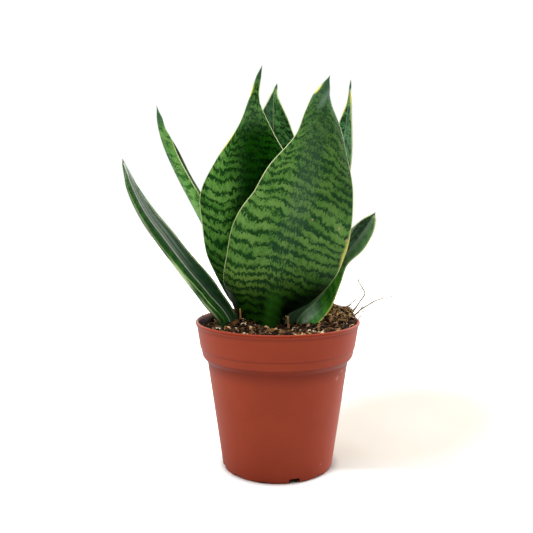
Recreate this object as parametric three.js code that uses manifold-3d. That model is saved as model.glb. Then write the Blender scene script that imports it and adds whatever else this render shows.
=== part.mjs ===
// Potted snake plant in a round plastic nursery pot.
// Millimetres, +Z up. Origin: the middle of the flat underside of the pot's floor,
// which stands on z = 0. The front of the plant faces -Y.

import * as THREE from 'three';
import { mergeVertices } from 'three/addons/utils/BufferGeometryUtils.js';
import Module from 'manifold-3d';

const wasm = await Module();
wasm.setup();

// ---------------------------------------------------------------- dimensions
const GAP = 0.35;                 // clearance between neighbouring solids

const RIM_R = 52.5;               // outside radius of the lip
const RIM_Z = 94.3;               // height of the pot
const BASE_R = 35.6;              // outside radius at the foot
const SHOULDER_R = 45.0;          // outside radius at the top of the tapered body
const SHOULDER_Z = 68.6;
const COLLAR_R = 48.2;            // outside radius at the lower corner of the collar
const COLLAR_Z = 72.8;
const LINE_R = 48.95;             // outside radius under the fine step round the collar
const LINE_Z = 77.2;
const WALL = 1.45;                // wall thickness
const FLOOR = 1.6;                // floor thickness
const POT_SEGMENTS = 72;

const NOTCHES = 12;               // drain notches round the foot
const NOTCH_FIRST = 17;           // degrees from the front towards +X
const NOTCH_DEEP_EVERY = 3;
const NOTCH_DEEP = [7.0, 3.1];    // width, height
const NOTCH_SHALLOW = [7.4, 1.2];

const SOIL_Z = 90.3;              // mean height of the potting mix
const SOIL_RINGS = 13;
const SOIL_SEGMENTS = 60;
const SOIL_ROUGH = 0.75;          // height of the crumbs' relief

const LEAF_SAMPLES = 2;           // mesh rows between two stations of a leaf
const TIP_ROUND = 4;              // a half narrower than this loses its curl

// ------------------------------------------------------------ small functions
const rad = (d) => (d * Math.PI) / 180;
const clamp = (v, a, b) => Math.min(b, Math.max(a, v));
const smooth = (a, b, v) => { const t = clamp((v - a) / (b - a), 0, 1); return t * t * (3 - 2 * t); };
const hill = (x, y, cx, cy, sx, sy, h) =>
  h * Math.exp(-((x - cx) ** 2) / (2 * sx * sx) - ((y - cy) ** 2) / (2 * sy * sy));

// a repeatable number in 0..1 for a lattice point
function lattice(i, j, k) {
  const s = Math.sin(i * 127.1 + j * 311.7 + k * 74.7) * 43758.5453;
  return s - Math.floor(s);
}
function noise(x, y, k) {
  const i = Math.floor(x), j = Math.floor(y);
  const fx = smooth(0, 1, x - i), fy = smooth(0, 1, y - j);
  const a = lattice(i, j, k), b = lattice(i + 1, j, k), c = lattice(i, j + 1, k), d = lattice(i + 1, j + 1, k);
  return a + (b - a) * fx + (c - a) * fy + (a - b - c + d) * fx * fy;
}

function indexed(points, faces) {
  const g = new THREE.BufferGeometry();
  g.setAttribute('position', new THREE.Float32BufferAttribute(points.flat(), 3));
  g.setIndex(faces.flat());
  g.computeVertexNormals();
  return g;
}

function toSolid(geometry, matrix) {
  let g = geometry.clone();
  g.deleteAttribute('normal');
  g.deleteAttribute('uv');
  if (matrix) g.applyMatrix4(matrix);
  g = mergeVertices(g, 1e-4);
  return new wasm.Manifold(new wasm.Mesh({
    numProp: 3,
    vertProperties: new Float32Array(g.attributes.position.array),
    triVerts: new Uint32Array(g.index.array),
  }));
}

function fromSolid(solid) {
  const m = solid.getMesh();
  const g = new THREE.BufferGeometry();
  g.setAttribute('position', new THREE.Float32BufferAttribute(m.vertProperties, 3));
  g.setIndex(Array.from(m.triVerts));
  g.computeVertexNormals();
  return g;
}

// ---------------------------------------------------------------------- leaves
// A leaf is a sheet swept along its midrib. Each station, from the foot in the
// mix to the tip, is
//   [x, y, z of the midrib, half width left, half width right,
//    heading of the inner face (0 = front, 90 = +X), curl left, curl right]
// with widths measured straight from the midrib to each margin and angles in
// degrees. Left and right are as seen when looking at the inner face.
const LEAVES = {
  leaf_front: { color: 0x55803a, across: 8, phase: 0.4, rows: [
    [-5, -3, 64, 6, 10, 182, 45, 45],
    [-4.5, -7, 91, 5.5, 29, 181, 40, 40],
    [-2.5, -10.5, 107, 28, 37, 180, 27, 27],
    [1, -15, 127, 39.5, 37.5, 180, 22, 22],
    [6, -20, 146, 39, 37, 178, 20, 20],
    [13, -23, 165, 36, 32, 180, 20, 20],
    [18, -24, 186, 31, 25, 182, 22, 22],
    [22.5, -22, 206, 22, 14, 184, 26, 26],
    [25, -19, 222, 14, 9.5, 184, 30, 30],
    [28, -16, 234, 4, 7, 184, 40, 40],
    [31, -14, 244, 0.7, 0.7, 184, 60, 60]] },
  leaf_left_centre: { color: 0x47733a, across: 8, phase: 1.9, rows: [
    [-9, 7, 64, 8, 8, 176, 35, 35],
    [-9, 5.5, 90, 11, 13, 176, 35, 35],
    [-11.5, 4, 109, 22, 26.5, 176, 27, 27],
    [-14, 1, 131, 30, 34.5, 175, 22, 22],
    [-16, 0, 152, 33, 37.5, 174, 20, 20],
    [-17, 0, 175, 33, 37.5, 174, 20, 20],
    [-17, 2, 198, 25, 26.5, 174, 24, 24],
    [-16, 5, 218, 13, 11, 176, 30, 30],
    [-15, 7, 233, 4, 5, 176, 40, 40],
    [-13, 8, 245, 2, 2, 176, 60, 60],
    [-10, 9, 255, 0.7, 0.7, 176, 60, 60]] },
  leaf_back_centre: { color: 0x2f5236, across: 6, phase: 3.1, rows: [
    [-2, 20, 64, 7, 7, 0, 40, 40],
    [-2, 21, 94, 9, 9, 0, 38, 38],
    [-0.5, 23, 117, 11, 12, 0, 30, 30],
    [-0.5, 27, 144, 14, 15, 0, 25, 25],
    [-1, 30, 171, 17, 18, 0, 25, 25],
    [-2, 32, 197, 18, 19, 0, 25, 25],
    [-3, 33, 221, 12.5, 12, 0, 28, 28],
    [-3, 34, 236, 5, 5.5, 0, 40, 40],
    [-2, 35, 243, 1.8, 1.8, 0, 60, 60],
    [-0.5, 36, 249, 0.7, 0.7, 0, 60, 60]] },
  leaf_right_back: { color: 0x35583a, across: 6, phase: 4.6, rows: [
    [12, 20, 64, 7, 7, -20, 40, 40],
    [17, 22, 94, 9, 9, -20, 40, 40],
    [24, 26, 117, 10, 9, -22, 32, 32],
    [30.5, 29, 144, 11, 10.5, -25, 28, 28],
    [37, 31, 171, 11, 11.5, -28, 25, 25],
    [42.5, 32, 196, 9.5, 10.5, -30, 25, 25],
    [46, 33, 218, 6, 6.5, -30, 28, 28],
    [47.5, 33.5, 233, 2.2, 3.2, -30, 40, 40],
    [48.3, 34, 242.5, 1, 1, -30, 60, 60],
    [49, 34.5, 251, 0.7, 0.7, -30, 60, 60]] },
  leaf_left_back: { color: 0x6f9a4c, across: 6, phase: 0.9, rows: [
    [-18, 22, 64, 7, 7, 100, 40, 40],
    [-19, 24.5, 94, 9, 9, 98, 38, 38],
    [-29, 28, 114, 14, 14, 95, 33, 33],
    [-42.5, 32, 138.5, 18, 18, 92, 28, 28],
    [-55.5, 35, 163, 18, 18, 90, 25, 25],
    [-68.5, 36, 187.5, 17, 17, 92, 25, 25],
    [-77, 36, 206.5, 13, 13, 94, 28, 28],
    [-81, 36, 221, 6, 6, 94, 35, 35],
    [-82.5, 36, 234.5, 0.9, 0.9, 92, 60, 60]] },
  leaf_left_low: { color: 0x3c5b40, across: 8, phase: 2.7, rows: [
    [-32, 4, 64, 8, 8, 10, 60, 50],
    [-31, 5, 91, 15, 6.5, 14, 74, 50],
    [-45.5, 6.5, 110, 14.5, 10.5, 20, 72, 51],
    [-59.5, 7, 126.5, 12, 11, 25, 63, 56],
    [-72.5, 7, 144, 10.5, 10, 23, 56, 58],
    [-85.5, 6, 162.5, 8, 8.5, 18, 58, 58],
    [-93, 5, 178.5, 6, 4.5, 15, 58, 60],
    [-96.3, 4, 188.7, 2.5, 1.5, 16, 60, 60],
    [-98.8, 4, 196.3, 0.8, 0.8, 15, 60, 60]] },
  leaf_right_low: { color: 0x2f6a30, across: 6, phase: 5.3, rows: [
    [14, 7, 64, 7, 8, -5, 42, 42],
    [13, 5.5, 91, 9, 14, -8, 28, 36],
    [27, 12, 106, 10, 11.5, -5, 30, 34],
    [35.5, 12.5, 118.5, 8, 7.5, -5, 36, 36],
    [42, 13, 131, 8, 6, -10, 38, 38],
    [51.5, 13, 143, 10, 8, -10, 35, 35],
    [59.5, 13, 154.5, 6.5, 5, -12, 35, 35],
    [63.5, 13, 162.5, 0.8, 0.8, -15, 60, 60]] },
};

// full thickness of the blade, at the midrib and at the margin, from foot to tip
const THICK_AT = [0, 0.15, 0.5, 0.85, 1];
const THICK_RIB = [4.0, 3.6, 2.6, 2.0, 1.3];
const THICK_EDGE = [1.0, 1.0, 0.95, 0.9, 0.9];
const FOLD = 0.25;                // share of a straight vee in the cross-section

function table(s, at, values) {
  for (let i = 1; i < at.length; i++) {
    if (s <= at[i]) return values[i - 1] + (values[i] - values[i - 1]) * (s - at[i - 1]) / (at[i] - at[i - 1]);
  }
  return values[values.length - 1];
}

// uniform Catmull-Rom through the stations, the ends carried on in a straight line
function station(rows, s) {
  const n = rows.length - 1;
  const u = clamp(s * n, 0, n - 1e-9), i = Math.floor(u), f = u - i;
  const at = (k) => (k < 0 ? rows[0].map((v, c) => 2 * v - rows[1][c])
    : k > n ? rows[n].map((v, c) => 2 * v - rows[n - 1][c]) : rows[k]);
  const p0 = at(i - 1), p1 = at(i), p2 = at(i + 1), p3 = at(i + 2);
  return p1.map((v, c) => {
    const m1 = (p2[c] - p0[c]) / 2, m2 = (p3[c] - v) / 2;
    return (2 * f ** 3 - 3 * f ** 2 + 1) * v + (f ** 3 - 2 * f ** 2 + f) * m1
      + (-2 * f ** 3 + 3 * f ** 2) * p2[c] + (f ** 3 - f ** 2) * m2;
  });
}

// the leaf as one closed solid; grow widens and thickens it, for its hole in the mix
function leafGeometry(leaf, grow = 0) {
  const { rows, across, phase } = leaf;
  const along = (rows.length - 1) * LEAF_SAMPLES;
  const inner = [], outer = [];
  for (let i = 0; i <= along; i++) {
    const s = i / along;
    const q = station(rows, s);
    const ahead = station(rows, Math.min(1, s + 1e-3)), back = station(rows, Math.max(0, s - 1e-3));
    const T = new THREE.Vector3(ahead[0] - back[0], ahead[1] - back[1], ahead[2] - back[2]).normalize();
    const face = rad(q[5]);
    const N = new THREE.Vector3(Math.sin(face), -Math.cos(face), 0);
    N.addScaledVector(T, -N.dot(T)).normalize();
    const S = new THREE.Vector3().crossVectors(N, T);
    const mid = new THREE.Vector3(q[0], q[1], q[2]);
    if (i === 0 && grow) mid.addScaledVector(T, -grow);
    const ripple = smooth(0.16, 0.34, s) * smooth(1, 0.8, s);
    for (let j = 0; j <= across; j++) {
      const t = (2 * j) / across - 1, a = Math.abs(t), side = t < 0 ? 1 : -1;
      let w = Math.max(t < 0 ? q[3] : q[4], 0.5);
      w *= 1 + 0.012 * ripple * Math.sin(31 * s + phase + (t < 0 ? 0 : 2));
      const curl = rad(t < 0 ? q[6] : q[7]) * Math.min(1, w / TIP_ROUND);
      const r = w / (2 * Math.sin(curl));
      const u = (1 - FOLD) * r * Math.sin(2 * curl * a) + FOLD * w * a * Math.cos(curl);
      const v = (1 - FOLD) * r * (1 - Math.cos(2 * curl * a)) + FOLD * w * a * Math.sin(curl)
        + 0.45 * ripple * a * a * Math.sin(24 * s + 2 * phase + (t < 0 ? 0 : 1.3));
      // normal of the section, in the plane across the midrib
      const du = (1 - FOLD) * 2 * curl * r * Math.cos(2 * curl * a) + FOLD * w * Math.cos(curl);
      const dv = (1 - FOLD) * 2 * curl * r * Math.sin(2 * curl * a) + FOLD * w * Math.sin(curl);
      const len = Math.hypot(du, dv);
      const nu = j * 2 === across ? 0 : (-side * dv) / len, nv = j * 2 === across ? 1 : du / len;
      const h = (table(s, THICK_AT, THICK_RIB) * (1 - a * a) + table(s, THICK_AT, THICK_EDGE) * a * a) / 2 + grow;
      const edge = side * u + (a > 0.999 ? side * grow * du / len : 0);
      const lift = v + (a > 0.999 ? grow * dv / len : 0);
      const p = mid.clone().addScaledVector(S, edge).addScaledVector(N, lift);
      const n = new THREE.Vector3().addScaledVector(S, nu).addScaledVector(N, nv);
      inner.push(p.clone().addScaledVector(n, h).toArray());
      outer.push(p.clone().addScaledVector(n, -h).toArray());
    }
  }
  const w = across + 1, far = inner.length;
  const faces = [];
  for (let i = 0; i < along; i++) {
    for (let j = 0; j < across; j++) {
      const a = i * w + j, b = a + 1, c = a + w + 1, d = a + w;
      faces.push([a, b, c], [a, c, d]);                                       // inner face
      faces.push([far + a, far + c, far + b], [far + a, far + d, far + c]);   // outer face, split alike
    }
    const l = i * w, r = i * w + across;
    faces.push([l, l + w, far + l + w], [l, far + l + w, far + l]);           // left margin
    faces.push([r, far + r + w, r + w], [r, far + r, far + r + w]);           // right margin
  }
  for (let j = 0; j < across; j++) {
    const b0 = j, t0 = along * w + j;
    faces.push([b0, far + b0 + 1, b0 + 1], [b0, far + b0, far + b0 + 1]);     // foot
    faces.push([t0, t0 + 1, far + t0 + 1], [t0, far + t0 + 1, far + t0]);     // tip
  }
  return indexed(inner.concat(outer), faces);
}

// ------------------------------------------------------------------------- pot
// closed profile [radius, height]: up the outside, over the lip, down the inside
function potGeometry() {
  const profile = [
    [0, 0], [BASE_R - 1.2, 0], [BASE_R - 0.3, 0.35], [BASE_R, 1.1],
    [SHOULDER_R, SHOULDER_Z], [SHOULDER_R + 0.35, SHOULDER_Z + 0.7], [COLLAR_R - 1.5, COLLAR_Z - 2.1],
    [COLLAR_R - 0.55, COLLAR_Z - 1.0], [COLLAR_R, COLLAR_Z], [LINE_R, LINE_Z], [LINE_R + 0.5, LINE_Z + 0.4],
    [RIM_R - 0.95, RIM_Z - 2.7], [RIM_R - 0.25, RIM_Z - 1.9], [RIM_R, RIM_Z - 1.1],
    [RIM_R - 0.35, RIM_Z - 0.25], [RIM_R - 1.1, RIM_Z], [RIM_R - 1.75, RIM_Z - 0.3],
    [RIM_R - 2.1, RIM_Z - 1.2], [COLLAR_R - WALL, COLLAR_Z - 0.4],
    [SHOULDER_R - WALL, SHOULDER_Z - 0.6], [BASE_R - WALL - 0.1, FLOOR + 0.5],
    [BASE_R - WALL - 0.8, FLOOR], [0, FLOOR],
  ].map(([r, z]) => new THREE.Vector2(r, z));
  const lathe = new THREE.LatheGeometry(profile, POT_SEGMENTS);
  lathe.rotateX(Math.PI / 2);
  let pot = toSolid(lathe);
  for (let k = 0; k < NOTCHES; k++) {
    const [width, height] = k % NOTCH_DEEP_EVERY === 0 ? NOTCH_DEEP : NOTCH_SHALLOW;
    const deep = height > FLOOR;
    const depth = deep ? 12 : 6;                           // measured along the radius
    const angle = rad(-90 + NOTCH_FIRST + k * (360 / NOTCHES));
    const shape = new THREE.Shape();                       // arched opening, [across, up]
    const half = width / 2, crown = Math.min(0.8, height * 0.4);
    shape.moveTo(-half, -1);
    shape.lineTo(half, -1);
    shape.lineTo(half, height - crown);
    shape.lineTo(half - crown * 1.2, height);
    shape.lineTo(-half + crown * 1.2, height);
    shape.lineTo(-half, height - crown);
    shape.closePath();
    const bar = new THREE.ExtrudeGeometry(shape, { depth, bevelEnabled: false });
    const m = new THREE.Matrix4().makeBasis(
      new THREE.Vector3(-Math.sin(angle), Math.cos(angle), 0),
      new THREE.Vector3(0, 0, 1),
      new THREE.Vector3(Math.cos(angle), Math.sin(angle), 0));
    m.setPosition(Math.cos(angle) * (BASE_R + 3 - depth), Math.sin(angle) * (BASE_R + 3 - depth), 0);
    pot = pot.subtract(toSolid(bar, m));
  }
  return fromSolid(pot);
}

// ------------------------------------------------------------------ potting mix
function soilHeight(x, y) {
  const r = Math.hypot(x, y);
  const front = smooth(10, -30, y);
  return SOIL_Z
    + 1.3 * front * smooth(34, 47, r)                      // heaped against the front of the rim
    + hill(x, y, 35, 16, 8.5, 11, 9.4)                     // mound behind the right leaf
    + hill(x, y, 48, 5, 5.5, 9, 5.8)
    - hill(x, y, -45, 4, 6, 13, 3)                         // hollow on the left
    + hill(x, y, -21, -6, 6, 6, 3)
    - hill(x, y, 10, -4, 9, 6, 1.2)
    + SOIL_ROUGH * 2 * (noise(x / 5.5, y / 5.5, 3) - 0.5)
    + SOIL_ROUGH * (noise(x / 2.6, y / 2.6, 9) - 0.5);
}

// a block of mix: its heaped top, then its side, which follows the inside of the pot
function soilGeometry() {
  const side = [
    [COLLAR_R - WALL - GAP, COLLAR_Z - 0.2], [SHOULDER_R - WALL - GAP, SHOULDER_Z - 0.4],
    [BASE_R - WALL - GAP - 0.1, FLOOR + 0.9], [BASE_R - WALL - GAP - 0.9, FLOOR + GAP],
  ];
  const topR = RIM_R - 2.1 - GAP - 0.15;
  const points = [[0, 0, soilHeight(0, 0)]], faces = [];
  const rings = [];
  for (let i = 1; i <= SOIL_RINGS; i++) {
    const ring = [];
    for (let k = 0; k < SOIL_SEGMENTS; k++) {
      const a = (2 * Math.PI * (k + (i % 2) / 2)) / SOIL_SEGMENTS;
      let r = topR * Math.pow(i / SOIL_RINGS, 0.85);
      const x = r * Math.cos(a), y = r * Math.sin(a);
      let z = soilHeight(x, y);
      if (i === SOIL_RINGS) {
        z -= 0.9;
        r = Math.min(r, COLLAR_R - WALL - GAP + (z - COLLAR_Z + 0.2) * (topR + WALL + GAP - COLLAR_R) / (RIM_Z - 1.4 - COLLAR_Z));
      }
      ring.push(points.length);
      points.push([r * Math.cos(a), r * Math.sin(a), z]);
    }
    rings.push(ring);
  }
  for (const [r, z] of side) {
    const ring = [];
    const half = (SOIL_RINGS % 2) / 2;
    for (let k = 0; k < SOIL_SEGMENTS; k++) {
      const a = (2 * Math.PI * (k + half)) / SOIL_SEGMENTS;
      ring.push(points.length);
      points.push([r * Math.cos(a), r * Math.sin(a), z]);
    }
    rings.push(ring);
  }
  const n = SOIL_SEGMENTS;
  for (let k = 0; k < n; k++) faces.push([0, rings[0][k], rings[0][(k + 1) % n]]);
  for (let i = 1; i < rings.length; i++) {
    const a = rings[i - 1], b = rings[i];
    const turned = i < SOIL_RINGS && (i + 1) % 2 === 1;    // outer ring turned forward by half a step
    for (let k = 0; k < n; k++) {
      const m = (k + 1) % n;
      if (i >= SOIL_RINGS || turned) faces.push([a[k], b[k], a[m]], [a[m], b[k], b[m]]);
      else faces.push([a[k], b[k], b[m]], [a[k], b[m], a[m]]);
    }
  }
  const last = rings[rings.length - 1], c = points.length;
  points.push([0, 0, FLOOR + GAP]);
  for (let k = 0; k < n; k++) faces.push([c, last[(k + 1) % n], last[k]]);
  return indexed(points, faces);
}

// --------------------------------------------- twig stubs and roots in the mix
// [x, y of the foot, height of the foot, length, lean along X, lean along Y in degrees]
const TWIGS = {
  twig_left: [-23, -6, 88, 14.0, -2, 0],
  twig_centre: [7.2, -10.5, 85.5, 12.4, -3, 0],
  twig_right: [24.8, -19, 85.5, 10.0, 6, 0],
};
const TWIG_R = [0.85, 0.45];      // radius at the foot and at the tip

const ROOT_R = 0.5;
const ROOTS = {
  root_strand_back: [[41.5, 14, 93], [44, 12.6, 98.6], [47.7, 12, 101.9], [51.6, 12, 105.8]],
  root_strand_tall: [[47.0, 9, 92], [49.2, 8.4, 97.5], [53.1, 8, 103.8], [56.6, 8, 109.1], [54.9, 8, 114.1],
    [52.3, 8, 118.4], [54.7, 8, 120.5]],
  root_strand_long: [[47.6, 2.5, 91.5], [50.4, 2.9, 97.2], [58.4, 3.2, 103.2], [65.8, 3.6, 106.8], [73.7, 4, 108.5]],
};

function twigGeometry(grow = 0) {
  const g = new THREE.CylinderGeometry(TWIG_R[1] + grow, TWIG_R[0] + grow, 1, 7, 1);
  g.rotateX(Math.PI / 2);
  g.translate(0, 0, 0.5);
  return g;
}

function rootGeometry(points, grow = 0) {
  const path = new THREE.CatmullRomCurve3(points.map((p) => new THREE.Vector3(...p)));
  const shape = new THREE.Shape();
  for (let k = 0; k < 8; k++) {
    const a = (2 * Math.PI * k) / 8, r = ROOT_R + grow;
    if (k === 0) shape.moveTo(r, 0); else shape.lineTo(r * Math.cos(a), r * Math.sin(a));
  }
  shape.closePath();
  const steps = Math.max(6, Math.round(path.getLength() / 1.8));
  return new THREE.ExtrudeGeometry(shape, { steps, bevelEnabled: false, extrudePath: path });
}

// -------------------------------------------------------------------- assembly
const material = (color, roughness, metalness = 0) => new THREE.MeshStandardMaterial({ color, roughness, metalness });
const piece = (name, geometry, mat) => { const m = new THREE.Mesh(geometry, mat); m.name = name; return m; };

const part = new THREE.Group();
part.name = 'potted_snake_plant';

const pot = piece('pot', potGeometry(), material(0xa9553f, 0.38));
part.add(pot);

const plant = new THREE.Group();
plant.name = 'plant';
for (const [name, leaf] of Object.entries(LEAVES)) {
  plant.add(piece(name, leafGeometry(leaf), material(leaf.color, 0.42)));
}
part.add(plant);

const litter = new THREE.Group();
litter.name = 'litter';
const twigMaterial = material(0x9a7650, 0.85);
for (const [name, [x, y, z, length, leanX, leanY]] of Object.entries(TWIGS)) {
  const twig = piece(name, twigGeometry(), twigMaterial);
  twig.position.set(x, y, z);
  twig.rotation.set(rad(leanY), rad(leanX), 0);
  twig.scale.set(1, 1, length);
  litter.add(twig);
}
const rootMaterial = material(0x8d7257, 0.85);
for (const [name, points] of Object.entries(ROOTS)) {
  litter.add(piece(name, rootGeometry(points), rootMaterial));
}
part.add(litter);

// the mix is cut clear of everything that stands in it
part.updateMatrixWorld(true);
let soil = toSolid(soilGeometry());
for (const leaf of Object.values(LEAVES)) soil = soil.subtract(toSolid(leafGeometry(leaf, GAP)));
for (const name of Object.keys(TWIGS)) {
  const twig = litter.getObjectByName(name);
  const hole = new THREE.Matrix4().copy(twig.matrixWorld).multiply(new THREE.Matrix4().makeTranslation(0, 0, -GAP / twig.scale.z));
  soil = soil.subtract(toSolid(twigGeometry(GAP), hole));
}
for (const points of Object.values(ROOTS)) {
  const [a, b] = [new THREE.Vector3(...points[0]), new THREE.Vector3(...points[1])];
  const start = a.clone().addScaledVector(b.clone().sub(a).normalize(), -2 * GAP).toArray();
  soil = soil.subtract(toSolid(rootGeometry([start, ...points], GAP)));
}
part.add(piece('potting_mix', fromSolid(soil), material(0x3b2a20, 0.95)));

export default part;
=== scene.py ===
"""Potted snake plant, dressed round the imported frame.

Numbers are millimetres, and MM turns them into Blender's metres when a mesh is made.
+Z is up and the front of the plant faces -Y, as in the frame.
"""

import bpy
import numpy as np
from numpy import (array, clip, concatenate, cos, exp, hypot, linspace, maximum, minimum,
                   radians, sin, stack, tile, vstack)
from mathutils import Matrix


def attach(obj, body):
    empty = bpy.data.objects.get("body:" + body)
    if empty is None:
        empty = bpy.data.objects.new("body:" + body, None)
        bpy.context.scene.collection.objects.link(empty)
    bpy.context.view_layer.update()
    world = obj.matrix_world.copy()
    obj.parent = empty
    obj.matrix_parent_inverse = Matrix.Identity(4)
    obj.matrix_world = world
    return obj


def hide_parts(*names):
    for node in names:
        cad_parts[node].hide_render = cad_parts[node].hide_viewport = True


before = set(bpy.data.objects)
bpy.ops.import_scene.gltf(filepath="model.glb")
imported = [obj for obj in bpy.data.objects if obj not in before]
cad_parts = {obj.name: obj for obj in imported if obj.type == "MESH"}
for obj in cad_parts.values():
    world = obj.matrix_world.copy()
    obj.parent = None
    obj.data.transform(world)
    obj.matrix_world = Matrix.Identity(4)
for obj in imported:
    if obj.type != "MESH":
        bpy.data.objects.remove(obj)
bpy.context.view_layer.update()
MM = 0.001


# ---- number work
HASH_STEPS, HASH_SCALE = (127.1, 311.7, 74.7), 43758.5453


def smooth(a, b, v):
    """0 below a, 1 above b, an S-shaped ramp between them; a may be the larger."""
    t = clip((v - a) / (b - a), 0, 1)
    return t * t * (3 - 2 * t)


def unit(v):
    """Vectors along the last axis, made one long."""
    return v / np.linalg.norm(v, axis=-1, keepdims=True)


def around(count):
    """Angles evenly apart over a full turn."""
    return linspace(0, 2 * np.pi, count, endpoint=False)


def circle(angle, radius, height):
    """Points at the angles round the Z axis; radius and height may be grids."""
    return stack(np.broadcast_arrays(radius * cos(angle), radius * sin(angle), height), -1)


def lattice(i, j, k):
    """A repeatable number from 0 to 1 for each lattice point: what follows the dot of a large sine."""
    s = sin(i * HASH_STEPS[0] + j * HASH_STEPS[1] + k * HASH_STEPS[2]) * HASH_SCALE
    return s - np.floor(s)


def relief(x, y, k):
    """Value noise: lattice numbers joined by S-shaped ramps along x and y."""
    i, j = np.floor(x), np.floor(y)
    fx, fy = smooth(0, 1, x - i), smooth(0, 1, y - j)
    a, b = lattice(i, j, k), lattice(i + 1, j, k)
    c, d = lattice(i, j + 1, k), lattice(i + 1, j + 1, k)
    return a + (b - a) * fx + (c - a) * fy + (a - b - c + d) * fx * fy


def through(rows, s):
    """Uniform Catmull-Rom through the rows at s from 0 to 1, ends carried on straight."""
    rows = np.asarray(rows, float)
    rows = vstack([2 * rows[0] - rows[1], rows, 2 * rows[-1] - rows[-2]])
    u = clip(s * (len(rows) - 3), 0, len(rows) - 3 - 1e-9)
    i = u.astype(int)
    f = (u - i)[:, None]
    p0, p1, p2, p3 = (rows[i + k] for k in range(4))
    return ((2 * f**3 - 3 * f**2 + 1) * p1 + (f**3 - 2 * f**2 + f) * (p2 - p0) / 2
            + (3 * f**2 - 2 * f**3) * p2 + (f**3 - f**2) * (p3 - p1) / 2)


# ---- mesh work
def grid_faces(rows, columns):
    """Quads between the neighbours of a grid whose rows are closed rings."""
    r = np.arange(rows - 1)[:, None] * columns
    c = np.arange(columns)[None]
    n = (c + 1) % columns
    return stack([r + c, r + n, r + n + columns, r + c + columns], -1).reshape(-1, 4)


def closed_tube(rings):
    """Points and faces of rings joined in turn, a fan to the middle closing each end."""
    rows, columns = rings.shape[:2]
    points = vstack([rings.reshape(-1, 3), rings[0].mean(0), rings[-1].mean(0)])
    c = np.arange(columns)
    n, last, none = (c + 1) % columns, (rows - 1) * columns, np.full(columns, -1)
    first_fan = stack([n, c, np.full(columns, rows * columns), none], -1)
    last_fan = stack([last + c, last + n, np.full(columns, rows * columns + 1), none], -1)
    return points, vstack([grid_faces(rows, columns), first_fan, last_fan])


def many(copies, faces):
    """Points and faces of an (N, V, 3) stack of copies of one shape."""
    count, size = copies.shape[:2]
    shift = (np.arange(count) * size)[:, None, None]
    tiled = np.where(faces[None] < 0, -1, faces[None] + shift)
    return copies.reshape(-1, 3), tiled.reshape(-1, 4)


def volume(points, faces):
    """Signed volume of a closed mesh; faces of three corners end in -1."""
    a, b, c = (points[faces[:, k]] for k in range(3))
    four = faces[:, 3] >= 0
    d = points[faces[four, 3]]
    return (np.einsum("ij,ij->i", a, np.cross(b, c)).sum()
            + np.einsum("ij,ij->i", a[four], np.cross(c[four], d)).sum()) / 6


def outwards(points, faces):
    """The faces of a closed mesh, turned over if its signed volume is negative."""
    if volume(points, faces) >= 0:
        return faces
    return np.where(faces[:, 3:] < 0, faces[:, [0, 2, 1, 3]], faces[:, [0, 3, 2, 1]])


def linked(name, data):
    """A new object of the scene that holds the data."""
    obj = bpy.data.objects.new(name, data)
    bpy.context.scene.collection.objects.link(obj)
    return obj


def piece(name, points, faces, finish, slot, replaces=(), layers=None, crease=None):
    """One finished piece on the plant's body, faces outwards, place in its mesh."""
    faces = outwards(points, faces)
    mesh = bpy.data.meshes.new(name)
    corners = faces[faces >= 0]
    starts = concatenate([[0], np.cumsum((faces >= 0).sum(1))[:-1]])
    mesh.vertices.add(len(points))
    mesh.vertices.foreach_set("co", (points * MM).astype(np.float32).ravel())
    mesh.loops.add(len(corners))
    mesh.loops.foreach_set("vertex_index", corners.astype(np.int32))
    mesh.polygons.add(len(faces))
    mesh.polygons.foreach_set("loop_start", starts.astype(np.int32))
    mesh.polygons.foreach_set("use_smooth", np.ones(len(faces), bool))
    for layer, values in (layers or {}).items():
        kind, field = ("FLOAT_VECTOR", "vector") if values.ndim > 1 else ("FLOAT", "value")
        data = mesh.attributes.new(layer, kind, "POINT").data
        data.foreach_set(field, values.astype(np.float32).ravel())
    mesh.update(calc_edges=True)
    mesh.validate()
    if crease:
        mesh.set_sharp_from_angle(angle=radians(crease))
    mesh.materials.append(finish)
    obj = linked(name, mesh)
    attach(obj, "root")
    if replaces:
        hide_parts(*replaces)
    return obj


# ---- shader work
def tint(code):
    """A web colour such as "#7aa752", as the linear values that sockets take."""
    c = array([int(code[k:k + 2], 16) for k in (1, 3, 5)]) / 255
    c = np.where(c > 0.04045, ((c + 0.055) / 1.055) ** 2.4, c / 12.92)
    return (*(float(v) for v in c), 1)


def grey(level):
    """A colour with the same linear level in each channel."""
    return (level, level, level, 1)


class Value:
    """A socket of a finish, so that shader maths is written as arithmetic."""

    def __init__(self, finish, socket):
        self.finish, self.socket = finish, socket

    def maths(self, operation, *values):
        return self.finish.node("Math", dict(enumerate(values)), operation=operation)

    def __add__(self, other):
        return self.maths("ADD", self, other)

    def __sub__(self, other):
        return self.maths("SUBTRACT", self, other)

    def __rsub__(self, other):
        return self.maths("SUBTRACT", other, self)

    def __mul__(self, other):
        return self.maths("MULTIPLY", self, other)

    def __truediv__(self, other):
        return self.maths("DIVIDE", self, other)

    def __abs__(self):
        return self.maths("ABSOLUTE", self)

    __radd__, __rmul__ = __add__, __mul__


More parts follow.
